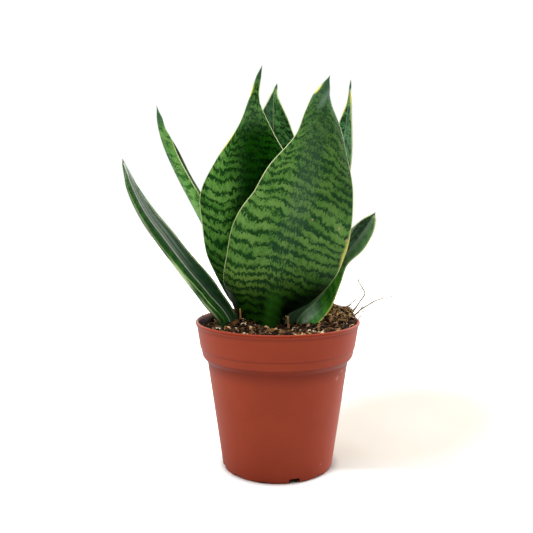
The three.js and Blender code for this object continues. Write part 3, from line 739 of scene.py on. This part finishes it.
SKINS = {  # what leaf_finish takes, leaf by leaf
    "front": dict(
        greens="#7aa752 #5a8e3c #0e420c #224c2c #60864e #46723e #224c26",
        mottled=(0.5, 0.85), cover=0.03, patch_tint="#f2ee80", crown=0.6, gloss=-0.06,
        glint=(230, 9, 0.6, 0.22, 2.6, 0.34), pitch=(0.055, 0.00052), close_bands=(62, 6),
        edge=1.5, awl=(0.78, 0.94), dusk=(0, 24, 0.5, 150, 176),
        spots=[((20.8, -23, 158.4), 0.9), ((37.4, -16.6, 152.8), 1.3), ((42.9, -12.4, 145.2), 1.5)]),
    "left_centre": dict(
        greens="#74a64e #4c8632 #0e3c14 #0a380a #5c824c #426e3c #204a24",
        cover=0.02, pitch=(0.06, 0.0005), close_bands=(60, 5), gloss=-0.2, edge=1.5,
        dusk=(-20, -1, 1, 80, 100), awl=(0.86, 0.93)),
    "back_centre": dict(
        greens="#548042 #3c683a #143e10 #22521a #74b264 #4a8e48 #022808",
        mottled=(0, 0.2), awl=(0.925, 0.94), tip=(0.955, 0.975), curls=(1, 0.2, 0.34, 0.5),
        painted_sheen=(-1, 0.2, 0.5, 0.5, "#60846a", 0), edge=0.5),
    "right_back": dict(
        greens="#4a7a44 #36623c #143e10 #22521a #7ac07c #509a5c #04360e",
        mottled=(0.2, 0.4), awl=(0.9, 0.93), gloss=0.1, edge=0.5,
        painted_sheen=(1, -0.1, 0, 0.12, "#b0d2b6", 0)),
    "left_back": dict(
        greens="#a8e07a #7ec45c #0c620e #166c16 #426436 #34582e #183416",
        mottled=(0.1, 0.3), pitch=(0.12, 0), cover=-0.1, edge=0.3, faint=(0.72, 0.8, 1),
        foot_shade=0.4, awl=(0.82, 0.93), curls=(0.9, 0.06, 0.26, 0.1), crown=0.6, gloss=-0.1),
    "left_low": dict(
        greens="#487c38 #326228 #1e4e1a #143e12 #368a18 #1e6810 #063a08",
        lines=0.2, calm=(-1, 0, 0.45), painted_sheen=(1, -0.3, 0.05, 0.62, "#beccc6", 1),
        gloss=-0.05, foot_shade=0.3, close=0.3, edge=0.25, rib=(1, 1.2), rib_tint="#e8eee2",
        faint=(0.32, 0.44, 0.6), awl=(0.94, 0.97), bleach=0.2, patch_tint="#d6f0b2"),
    "right_low": dict(
        greens="#50803c #386e30 #143e10 #22521a #60b432 #3a921e #084c06",
        lines=0.7, awl=(0.99, 1), cover=0.05, tip=(0.955, 0.97), bleach=0.8, calm=(0.56, 0.42, 0.5),
        rib=(0.7, 0.9), upper=(0.42, 0.58, "#6c9c64", "#062e10"),
        painted_sheen=(-1, 0.75, 0.4, 0.75, "#5c7e6a", 0), gloss=0.4, foot_shade=0.1, edge=0.6,
        close=0.4, glint=(94, 13, 4.5, -0.3, 4, 0.6)),
}


def make_leaves():
    for number, name in enumerate(LEAVES):
        finish = leaf_finish("leaf_skin_" + name, 13 * number + 2.5, **SKINS[name])
        make_leaf(name, finish)


# ---- pot
RIM_R, RIM_Z, BASE_R = 52.5, 94.3, 35.6
SHOULDER_R, SHOULDER_Z, COLLAR_R, COLLAR_Z = 45, 68.6, 48.2, 72.8
LINE_R, LINE_Z = 48.95, 77.2  # the fine step round the collar
WALL, FLOOR, GAP = 1.45, 1.6, 0.35
POT_PROFILE = [
    [BASE_R - 1.2, 0], [BASE_R - 0.3, 0.35], [BASE_R, 1.1], [SHOULDER_R, SHOULDER_Z],
    [SHOULDER_R + 0.35, SHOULDER_Z + 0.7], [COLLAR_R - 1.5, COLLAR_Z - 2.1],
    [COLLAR_R - 0.55, COLLAR_Z - 1], [COLLAR_R, COLLAR_Z], [LINE_R, LINE_Z], [LINE_R + 0.5, LINE_Z + 0.4],
    [RIM_R - 0.95, RIM_Z - 2.7], [RIM_R - 0.25, RIM_Z - 1.9], [RIM_R, RIM_Z - 1.1],
    [RIM_R - 0.35, RIM_Z - 0.25], [RIM_R - 1.1, RIM_Z], [RIM_R - 1.75, RIM_Z - 0.3],
    [RIM_R - 2.1, RIM_Z - 1.2], [COLLAR_R - WALL, COLLAR_Z - 0.4],
    [SHOULDER_R - WALL, SHOULDER_Z - 0.6], [BASE_R - WALL - 0.1, FLOOR + 0.5],
    [BASE_R - WALL - 0.8, FLOOR],
]
POT_SCUFFS = [((36, -25.4, 62.6), 2.2), ((38.6, -21, 66), 1.8), ((26.8, -25.8, 8.5), 1.2)]
POT_SIDES, POT_STEP, POT_CREASE = 240, 4, 35  # mm of profile between rings; degrees
NOTCHES, NOTCH_FIRST = 12, -73  # round the foot; degrees
TALL_NOTCH, LOW_NOTCH = (7, 3.1, 12, 0.8), (7.4, 1.2, 6, 0.48)  # width, height, depth, arch


def soften(profile, reach):
    """Cuts each corner of an open profile by two points, at most reach from it."""
    p = np.asarray(profile, float)
    back, ahead = p[:-2] - p[1:-1], p[2:] - p[1:-1]
    cut = lambda v: v * minimum(0.3, reach / np.linalg.norm(v, axis=1, keepdims=True))
    pairs = stack([p[1:-1] + cut(back), p[1:-1] + cut(ahead)], 1).reshape(-1, 2)
    return vstack([p[:1], pairs, p[-1:]])


def pot_finish():
    """Terracotta plastic: faintly cloudy and rubbed, with painted shade in the grooves, and darker down
    the inside.
    """
    f = Finish("pot_plastic")
    place = f.place()
    x, y, height = f.split(place)
    cloud = f.grain(place, 0.045, 3)
    speck = f.grain(place, 1.8, 2)
    rub = f.ramp(f.grain(place, 0.35, 4, 0.65, 1.5), 0.62, 0.74)
    base = f.mix(f.ramp(cloud, 0.3, 0.7), "#b24529", "#b8492c")
    base = f.mix(f.ramp(speck, 0.3, 0.75) * 0.1, base, "#be6042")
    base = f.mix(rub * 0.08, base, "#ce8268")
    # Painted shade under the ring, under the lip and along the step line.
    shade = f.ramp(height, 60, SHOULDER_Z + 1.5) * f.ramp(height, COLLAR_Z + 0.2, COLLAR_Z - 0.8)
    under_lip = f.ramp(height, RIM_Z - 5, RIM_Z - 2.9) * f.ramp(height, RIM_Z - 2.1, RIM_Z - 2.5)
    seam = f.ramp(height, LINE_Z - 0.5, LINE_Z) * f.ramp(height, LINE_Z + 0.9, LINE_Z + 0.5)
    groove_shade = shade * 0.62 + under_lip * 0.4 + seam * 0.45
    base = f.mix(groove_shade, base, "#b2a4aa", "MULTIPLY")
    scratch = f.ramp(f.grain(f.spot(height * 0.9, x * 3.2, 4)), 0.48, 0.54)
    for at, wide in POT_SCUFFS:
        base = f.mix(f.ramp(f.far(place, at), wide, wide * 0.4) * scratch * 0.8, base, "#e09680")
    slope = (RIM_R - COLLAR_R) / (RIM_Z - COLLAR_Z)
    wall = COLLAR_R - COLLAR_Z * slope
    inside = f.ramp(f.far(f.spot(x, y)) - height * slope, wall - 0.8, wall - 1.3)
    inside = inside * f.ramp(height, RIM_Z - 0.8, RIM_Z - 2.2) * f.ramp(height, 80, 84)
    base = f.mix(inside * 0.94, base, "#28160f")
    base = f.mix(f.ramp(height, RIM_Z - 2.4, RIM_Z - 1) * 0.8, base, "#9a3412")
    rough = 0.42 + (cloud - 0.5) * 0.1 + rub * 0.12
    turning = f.bump(f.grain(f.spot(0, 0, height * 2.2), 1, 1), 0.03, 0.25)
    return f.done(base, rough, f.bump(speck, 0.04, 0.35, turning), 0.18,
                  Sheen_Weight=0.06, Sheen_Roughness=0.4)


def notch_bars():
    """Bars that point at the axis: an arched outline carried inwards from outside the foot."""
    bars = []
    for k in range(NOTCHES):
        width, tall, depth, arch = TALL_NOTCH if k % 3 == 0 else LOW_NOTCH
        right = array([[width / 2, -1], [width / 2, tall - arch],
                       [width / 2 - arch * 0.35, tall - arch * 0.35], [width / 2 - arch * 1.2, tall]])
        outline = vstack([right[:1] * [-1, 1], right, right[:0:-1] * [-1, 1]])
        turn = radians(NOTCH_FIRST + k * 360 / NOTCHES)
        out = array([cos(turn), sin(turn), 0])
        side = array([-sin(turn), cos(turn), 0])
        flat = outline[:, :1] * side + outline[:, 1:] * array([0, 0, 1])
        bars.append(closed_tube(stack([flat + out * (BASE_R + 3 - d) for d in (depth, 0)])))
    points, faces = many(stack([b[0] for b in bars]), bars[0][1])
    return points, outwards(points, faces)


def make_pot():
    """The profile, its corners eased twice, turned about the axis; notches cut by arched bars."""
    profile = soften(soften(POT_PROFILE, 0.5), 0.2)
    fill = []
    for (r0, z0), (r1, z1) in zip(profile[:-1], profile[1:]):
        parts = max(1, int(hypot(r1 - r0, z1 - z0) / POT_STEP))
        fill += [[r0 + (r1 - r0) * k / parts, z0 + (z1 - z0) * k / parts] for k in range(parts)]
    profile = array(fill + [list(profile[-1])])
    points, faces = closed_tube(circle(around(POT_SIDES), profile[:, :1], profile[:, 1:]))
    pot = piece("pot_shell", points, faces, pot_finish(), "pot_plastic", ["pot"])
    points, faces = notch_bars()
    mesh = bpy.data.meshes.new("notch_bars")
    mesh.from_pydata((points * MM).tolist(), [], [[v for v in face if v >= 0] for face in faces.tolist()])
    cutter = linked("notch_bars", mesh)
    cut = pot.modifiers.new("notches", "BOOLEAN")
    cut.operation, cut.object, cut.solver = "DIFFERENCE", cutter, "EXACT"
    bpy.context.view_layer.update()
    cut_mesh = bpy.data.meshes.new_from_object(pot.evaluated_get(bpy.context.evaluated_depsgraph_get()))
    pot.modifiers.clear()
    pot.data = cut_mesh
    bpy.data.objects.remove(cutter)
    pot.data.set_sharp_from_angle(angle=radians(POT_CREASE))


# ---- potting mix
MIX_R = RIM_R - 2.1 - GAP - 0.15
MIX_TOP, MIX_FRONT = 90.3, 1.3  # mm: the level, and how much higher the front edge is
HILLS = [  # place, spread along X and Y, height: mounds and hollows
    [35, 16, 8.5, 11, 8.6], [48, 5, 5.5, 9, 5.8], [-45, 4, 6, 13, -3],
    [-21, -6, 6, 6, 3], [10, -4, 9, 6, -1.2]]
LUMPS = [[5.5, 3, 1.5], [2.6, 9, 0.75]]  # size, number of the noise, height
CRUMBS = [[1.5, 21, 0.9], [0.8, 22, 0.5]]
MOUND = (40, 12, 98)  # the drier heap at the right
MOUND_EDGE = (24, 12)
SEED, LITTER_CREASE = 7, 38  # degrees
FEET_FROM, FEET_TO, AT_ONCE = 84, 106, 500  # mm of height; points whose gaps are worked out together


def roughened(z, x, y, lumps):
    """The height with noise of each size added to it."""
    for size, number, tall in lumps:
        z = z + tall * (relief(x / size, y / size, number) - 0.5)
    return z


def mix_height(x, y):
    """Top of the mix: level, heaped at the front, a mound at the right, a hollow at the left."""
    z = MIX_TOP + MIX_FRONT * smooth(10, -30, y) * smooth(34, 47, hypot(x, y))
    for cx, cy, sx, sy, tall in HILLS:
        z = z + tall * exp(-((x - cx) ** 2) / (2 * sx * sx) - ((y - cy) ** 2) / (2 * sy * sy))
    return roughened(z, x, y, LUMPS)


def crumbled(x, y):
    """The mix's top with its finer crumbs."""
    return roughened(mix_height(x, y), x, y, CRUMBS)


def dried_with_shaded_gaps(f, colour, strength):
    """The colour near the heap: painted shade, near black, in the gaps between drier tan lumps."""
    near = f.ramp(f.far(f.place(), MOUND), *MOUND_EDGE)
    lumps = f.grain(f.place(), 0.5, 3)
    # Painted shade in the gaps between the heap's lumps.
    colour = f.mix(near * f.ramp(lumps, 0.5, 0.43) * 0.95, colour, "#0e0805")
    return f.mix(near * f.ramp(lumps, 0.51, 0.59) * strength, colour, "#e2b676")


def mix_finish():
    """Damp peat: dark hollows, browner crumbs, scattered tan threads."""
    f = Finish("potting_mix_damp")
    place = f.place()
    crumb = f.grain(place, 0.9, 4, 0.6)
    colour = f.mix(f.ramp(crumb, 0.35, 0.68), "#0e0906", "#462f1f")
    colour = f.mix(f.ramp(f.grain(place, 0.12, 2), 0.45, 0.7) * 0.3, colour, "#583c26")
    thread = f.ramp(f.grain(place, 0.6, 3, 0.6, 2.5), 0.63, 0.67)
    colour = dried_with_shaded_gaps(f, f.mix(thread * 0.6, colour, "#8e6a46"), 0.12)
    return f.done(colour, 0.82 + (crumb - 0.5) * 0.2, f.bump(crumb, 0.8, 0.9), 0.15)


def make_mix():
    """A polar grid for the crumbled top, then rings down the inside of the pot."""
    radius, angle = MIX_R * linspace(0.012, 1, 100) ** 0.9, around(330)
    top = circle(angle, radius[:, None], 0)
    top[..., 2] = crumbled(top[..., 0], top[..., 1]) - 0.9 * smooth(MIX_R - 1.2, MIX_R, radius)[:, None]
    collar = COLLAR_R - WALL - GAP
    slope = (MIX_R - collar) / (RIM_Z - 1.4 - COLLAR_Z)
    limit = collar + (top[-1, :, 2] - COLLAR_Z + 0.2) * slope
    top[-1, :, :2] *= minimum(1, limit / MIX_R)[:, None]
    side = [[collar, COLLAR_Z - 0.2], [SHOULDER_R - WALL - GAP, SHOULDER_Z - 0.4],
            [BASE_R - WALL - GAP - 0.1, FLOOR + 0.9], [BASE_R - WALL - GAP - 0.9, FLOOR + GAP]]
    points, faces = closed_tube(concatenate([top, [circle(angle, *row) for row in side]]))
    points[-2, 2] = crumbled(0, 0)
    piece("mix_bed", points, faces, mix_finish(), "potting_mix", ["potting_mix"])


def leaf_feet():
    """Points on the blades' middles near the mix, for keeping litter out of them."""
    s, t = linspace(0.05, 0.45, 90), tile(linspace(-1, 1, 25), (90, 1))
    near = vstack([leaf_sheet(n, s, t)[0].reshape(-1, 3) for n in LEAVES])
    return near[(near[:, 2] > FEET_FROM) & (near[:, 2] < FEET_TO)]


FEET = leaf_feet()


def clear_of_leaves(points, room):
    """True for the points further than room from every blade."""
    gaps = [np.linalg.norm(some[:, None] - FEET, axis=-1).min(1)
            for some in np.array_split(points, len(points) // AT_ONCE + 1)]
    return concatenate(gaps) > room


def scattered(rng, count, room, middle=None, spread=8):
    """Places on the mix, clear of the blades: all over it, or heaped round a middle."""
    tries, reach = count * 3, MIX_R - 1.2
    r = reach * np.sqrt(rng.random(tries))
    a = 2 * np.pi * rng.random(tries)
    x, y = r * cos(a), r * sin(a)
    if middle is not None:
        x, y = middle[0] + rng.normal(0, spread, tries), middle[1] + rng.normal(0, spread, tries)
        inside = hypot(x, y) < reach
        x, y = x[inside], y[inside]
    places = stack([x, y, crumbled(x, y)], -1)
    return places[clear_of_leaves(places, room)][:count]


def lump(rings, sides, square):
    """A closed lump: circles of latitude whose size follows a power of the sine."""
    lat = linspace(0, np.pi, rings + 2)[1:-1, None]
    tall = np.sign(cos(lat)) * np.abs(cos(lat)) ** square
    return closed_tube(circle(around(sides) + 0.3 * lat, sin(lat) ** square, tall))


def about(axis, angle):
    """Turns about one axis, a 3 x 3 matrix for each angle, the angles last."""
    turn = np.zeros((3, 3, len(angle)))
    i, j = (axis + 1) % 3, (axis + 2) % 3
    turn[axis, axis] = 1
    turn[i, i] = turn[j, j] = cos(angle)
    turn[j, i], turn[i, j] = sin(angle), -sin(angle)
    return turn


def turned(rng, count, tilt):
    """Random turns: any heading, leaning by up to about tilt radians."""
    yaw = 2 * np.pi * rng.random(count)
    pitch, roll = tilt * rng.normal(size=count), tilt * rng.normal(size=count)
    return np.einsum("ijn,jkn,kln->nil", about(2, yaw), about(1, pitch), about(0, roll))


def litter(name, rng, places, shape, size, finish, jitter, tilt=0.6, sink=0.2):
    """Copies of a lump: each with its own size, dents and turn, sunk a little in the mix."""
    points, faces = shape
    count = len(places)
    low, high = (array(v, float) for v in size)
    own = low + (high - low) * rng.random((count, 3)) ** 1.6
    dents = 1 + jitter * rng.normal(size=(count, len(points), 1)).clip(-2, 2)
    copies = np.einsum("nij,nvj->nvi", turned(rng, count, tilt), points * own[:, None] * dents)
    lift = own.min(1) * (1 - 2 * sink)
    copies = copies + places[:, None] + array([0, 0, 1]) * lift[:, None, None]
    layers = {"tone": np.repeat(rng.random(count), len(points))}
    piece(name, *many(copies, faces), finish, "potting_mix", layers=layers, crease=LITTER_CREASE)


def litter_finish(name, colours, scale, rough=0.85, depth=0.15):
    """A colour for each copy from its own tone, with fine grain and dents."""
    f = Finish(name)
    stops = [(k / (len(colours) - 1), c) for k, c in enumerate(colours)]
    colour = dried_with_shaded_gaps(f, f.node("ValToRGB", {0: f.number("tone")}, stops=stops), 0.75)
    grain = f.grain(f.place(), scale, 3, 0.6)
    colour = f.mix(f.ramp(grain, 0.35, 0.7) * 0.225, colour, "#3c281c", "MULTIPLY")
    return f.done(colour, rough + (grain - 0.5) * 0.15, f.bump(grain, depth, 0.8), 0.15)


def strands(name, paths, radius, sides, finish, slot, replaces=(), taper=0.35):
    """Round threads along an (N, K, 3) stack of paths, thinner towards their ends."""
    count, steps = paths.shape[:2]
    ahead = unit(np.gradient(paths, axis=1))
    across = unit(np.cross(ahead, array([0.3, 0.2, 0.93])))
    over = np.cross(ahead, across)
    angle = around(sides)[:, None]
    fall = 1 - (1 - taper) * linspace(0, 1, steps) ** 2
    size = radius.reshape(count, -1, 1, 1) * fall[None, :, None, None]
    rings = paths[:, :, None] + size * (cos(angle) * across[:, :, None] + sin(angle) * over[:, :, None])
    tubes = [closed_tube(r) for r in rings]
    points, faces = many(stack([p for p, _ in tubes]), tubes[0][1])
    tone = np.repeat(linspace(0, 1, count) * 7.3 % 1, len(tubes[0][0]))
    piece(name, points, faces, finish, slot, replaces, {"tone": tone})


PEAT = "#140c08 #2a1a10 #100a07 #50331f #1c120b #8a623a #301f14".split()
BARK = "#ce8e4a #f8deaa #a06838 #fef2d0 #be7c3c #f4d8a4".split()
PERLITE = "#fcfaf2 #e8decc".split()
COIR = "#966c46 #d6b282 #68482e #ecd2a8".split()


def make_litter():
    """Crumbs, bark chips, perlite and coir over the mix.

    A fibre of coir is an arc of steady bend that humps over the mix like a half cosine."""
    rng = np.random.default_rng(SEED)
    mound = (36, 12)
    coir = litter_finish("coir_fibres", COIR, 1.5)
    places = vstack([scattered(rng, 1700, 1.9), scattered(rng, 520, 1.9, mound, 9)])
    litter("mix_crumbs", rng, places, lump(3, 6, 0.75), ([0.45, 0.45, 0.4], [2.6, 2.2, 1.6]),
           litter_finish("peat_crumbs", PEAT, 1.6), 0.2)
    heaps = [((-20, -40), 5, 30, 2.4), ((19, -42), 5, 34, 2.4), (mound, 10, 26, 2)]
    heaps = [scattered(rng, count, room, middle, spread) for middle, spread, count, room in heaps]
    places = vstack([scattered(rng, 240, 2.4), *heaps])
    litter("mix_bark", rng, places, lump(3, 6, 0.45), ([0.7, 0.5, 0.35], [2.8, 1.7, 1]),
           litter_finish("bark_chips", BARK, 1.2, 0.7, 0.2), 0.12, 0.5, 0.1)
    places = scattered(rng, 110, 1.6)
    litter("mix_perlite", rng, places, lump(4, 7, 0.8), ([0.35, 0.35, 0.35], [0.9, 0.9, 0.8]),
           litter_finish("perlite_grains", PERLITE, 2, 0.75, 0.12), 0.08, 0.6, 0.25)

    places = vstack([scattered(rng, 150, 1.8), scattered(rng, 420, 1.8, mound, 9)])
    count = len(places)
    tau = linspace(-0.5, 0.5, 8)[None]
    long = (3 + 10 * rng.random(count) ** 1.5)[:, None]
    head, bend = 2 * np.pi * rng.random(count)[:, None], 2.2 * rng.normal(size=count)[:, None]
    way = head + bend * tau
    x = places[:, :1] + long * (tau * cos(way))
    y = places[:, 1:2] + long * (tau * sin(way))
    pull = minimum(1, (MIX_R - 1) / hypot(x, y))
    x, y = x * pull, y * pull
    hump = (0.25 + 2.2 * rng.random(count) ** 2)[:, None] * cos(np.pi * tau)
    paths = stack([x, y, mix_height(x, y) + 0.35 + hump], -1)
    paths = paths[[clear_of_leaves(p, 1.3).all() for p in paths]]
    strands("mix_fibres", paths, 0.08 + 0.13 * rng.random(len(paths)), 4, coir, "potting_mix")
    make_hairs(rng, coir)


HAIRS = [  # single hairs that stand out of the mix, each through four points
    [[17.3, -19, 90.5], [17.6, -19.3, 95], [17.2, -19.5, 99], [17.4, -19.6, 102.6]],
    [[50.3, -2, 92.5], [51.9, -2, 95.4], [54, -2.2, 98.6], [55.9, -2, 101.3]],
    [[-46.5, 9, 91.5], [-49.6, 10, 95.5], [-46.5, 11, 97], [-44.2, 10.5, 91.5]],
    [[47.5, 3, 93], [51.5, 3, 97.5], [55.8, 3, 99.6], [54.2, 3, 102.6]],
    [[46, 1, 92], [49, 1, 95.6], [53.5, 1, 95.9], [56.5, 1, 97.2]],
    [[45, 6, 95], [46, 6, 100], [45.4, 6, 103], [46.3, 6, 106.5]],
    [[48, 5, 93], [53, 5, 99.4], [57, 5, 103.6], [58.4, 5, 101.4]],
]
HAIR_SIZES = [0.2, 0.3, 0.2, 0.24, 0.22, 0.2, 0.24]
CURLS, CURLS_REACH = 26, 58  # tries; mm from the axis


def make_hairs(rng, finish):
    """Fine hairs: a few listed one by one, and curls that rise from the outer side of the mound.

    A curl starts on the mix and heads outwards and up, while its heading turns steadily."""
    s = linspace(0, 1, 24)
    by_hand = stack([through(h, s) for h in HAIRS])
    turn = rng.uniform(-0.6, 0.9, CURLS)
    start = stack([33 + 12 * cos(turn), 9 + 12 * sin(turn)], -1)
    start = np.column_stack([start, mix_height(*start.T)])
    long, rise = rng.uniform(5, 12, CURLS)[:, None], rng.uniform(0.4, 1.3, CURLS)[:, None]
    curl = rng.uniform(-4.5, 4.5, CURLS)[:, None]
    head = turn[:, None] + rng.normal(0, 0.5, CURLS)[:, None] + curl * s
    climb = rise - rng.uniform(0.5, 3, CURLS)[:, None] * s
    step = circle(head, cos(climb), sin(climb))
    curls = start[:, None] + np.cumsum(step, 1) * (long / len(s))[..., None]
    x, y, z = np.moveaxis(curls, -1, 0)
    keep = (hypot(x, y).max(1) < CURLS_REACH) & ((z - mix_height(x, y)).min(1) > -1.5)
    keep &= array([clear_of_leaves(c, 1.2).all() for c in curls])
    size = concatenate([HAIR_SIZES, rng.uniform(0.1, 0.17, keep.sum())])
    paths = concatenate([by_hand, curls[keep]])
    strands("mix_hairs", paths, size, 5, finish, "potting_mix", taper=0.5)


# ---- twigs and roots
TWIGS = {  # foot, length, lean along X and Y in degrees
    "twig_left": [-23, -6, 88, 14, -2, 0],
    "twig_centre": [7.2, -10.5, 85.5, 12.4, -3, 0],
    "twig_right": [24.8, -19, 85.5, 10, 6, 0],
}
ROOTS = {  # points that the root's middle runs through
    "root_strand_back": [[41.5, 14, 93], [44, 12.6, 98.6], [47.7, 12, 101.9], [51.6, 12, 105.8]],
    "root_strand_tall": [[47, 9, 92], [49.2, 8.4, 97.5], [53.1, 8, 103.8], [56.6, 8, 109.1],
                         [54.9, 8, 114.1], [52.3, 8, 118.4], [54.7, 8, 120.5]],
    "root_strand_long": [[47.6, 2.5, 91.5], [50.4, 2.9, 97.2], [58.4, 3.2, 103.2],
                         [65.8, 3.6, 106.8], [73.7, 4, 108.5]],
}
ROOT_THINS = (0.22, 0.26, 0.24)  # mm that each root loses on its way


def wood_finish(name, pale, deep, bleached=0):
    """Lengthwise grain, dry and greyer towards the top where bleached says so."""
    f = Finish(name)
    x, y, z = f.split(f.place())
    grain = f.grain(f.spot(x * 3, y * 3, z * 0.5), 1, 3)
    colour = f.mix(f.ramp(grain, 0.35, 0.65), deep, pale)
    colour = f.mix(f.ramp(z, 98, 110) * bleached, colour, "#ded4be")
    return f.done(colour, 0.75 + (grain - 0.5) * 0.2, f.bump(grain, 0.15, 0.8), 0.2)


def make_twigs_and_roots():
    """Stubs and roots: round sections along a path, knotted by noise, tapering to a broken end."""
    stub = wood_finish("twig_wood", "#dea86c", "#96643c")
    for k, (name, (x, y, z, long, lean_x, lean_y)) in enumerate(TWIGS.items()):
        s, angle = linspace(0, 1, 15), around(12)
        path = stack([x + long * s * sin(radians(lean_x)) + 0.15 * sin(5 * s + k),
                      y - long * s * sin(radians(lean_y)) + 0.12 * cos(4 * s + k),
                      z + long * s * cos(radians(lean_x))], -1)
        column = s[:, None]
        size = 0.85 - 0.4 * column + 0.12 * sin(3 * angle + k + 4 * column)
        size = size + 0.08 * sin(17 * column + angle)
        rings = path[:, None] + circle(angle, size, 0)
        rings[-1, :, 2] += 0.35 * sin(2 * angle + k)
        piece(name + "_stub", *closed_tube(rings), stub, "twig", [name])
    hair = wood_finish("root_skin", "#b0926c", "#684c34", 0.8)
    for k, (name, points) in enumerate(ROOTS.items()):
        s = linspace(0, 1, 46)
        path = through(points, s)
        wobble = 0.16 * smooth(0, 0.2, s) * smooth(1, 0.8, s)
        path[:, 0] += wobble * sin(23 * s + k)
        path[:, 1] += wobble * sin(17 * s + 2 * k)
        radius = (0.6 - ROOT_THINS[k] * s + 0.05 * sin(31 * s + k) + 0.04 * sin(13 * s)).clip(0.12)
        strands(name + "_hair", path[None], radius[None], 8, hair, "root", [name], 0.9)


# ---- all of it
set_stage()
make_floor()
make_pot()
make_mix()
make_litter()
make_twigs_and_roots()
make_leaves()
